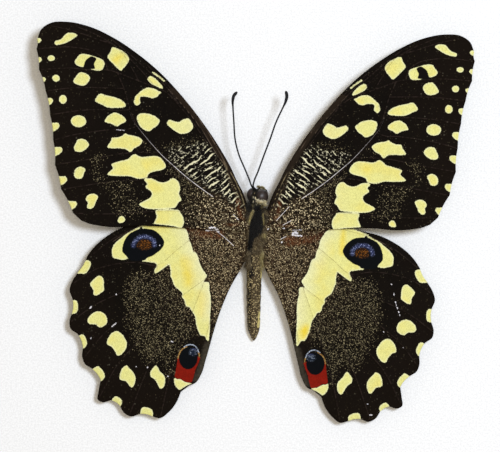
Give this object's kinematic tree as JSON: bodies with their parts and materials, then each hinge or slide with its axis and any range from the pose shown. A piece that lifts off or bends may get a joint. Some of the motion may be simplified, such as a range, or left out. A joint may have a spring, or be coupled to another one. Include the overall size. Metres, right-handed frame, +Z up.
{
  "type": "citrus swallowtail butterfly specimen",
  "caption": "Spread butterfly specimen with dark, pale-marked wings, lying flat on its folded legs and abdomen.",
  "frame": {"origin": "on the floor under the middle of the specimen's box", "axes": "+X towards the animal's right wing tips, +Y the way the head points, +Z up from the floor"},
  "size_m": [0.1004, 0.0905, 0.0083],
  "materials": {
    "wing_scales": "matte",
    "body_scales": "matte",
    "eye": "gloss",
    "dark_horn": "satin",
    "palp_scales": "matte"
  },
  "bodies": {
    "root": {"thorax": "body_scales", "head": "body_scales", "abdomen": "body_scales", "forewing_left": "wing_scales", "forewing_right": "wing_scales", "hindwing_left": "wing_scales", "hindwing_right": "wing_scales", "eye_left": "eye", "eye_right": "eye", "antenna_left": "dark_horn", "antenna_right": "dark_horn", "palp_left": "palp_scales", "palp_right": "palp_scales", "proboscis": "dark_horn", "leg_front_left": "dark_horn", "leg_front_right": "dark_horn", "leg_mid_left": "dark_horn", "leg_mid_right": "dark_horn", "leg_hind_left": "dark_horn", "leg_hind_right": "dark_horn"}
  },
  "joints": []
}
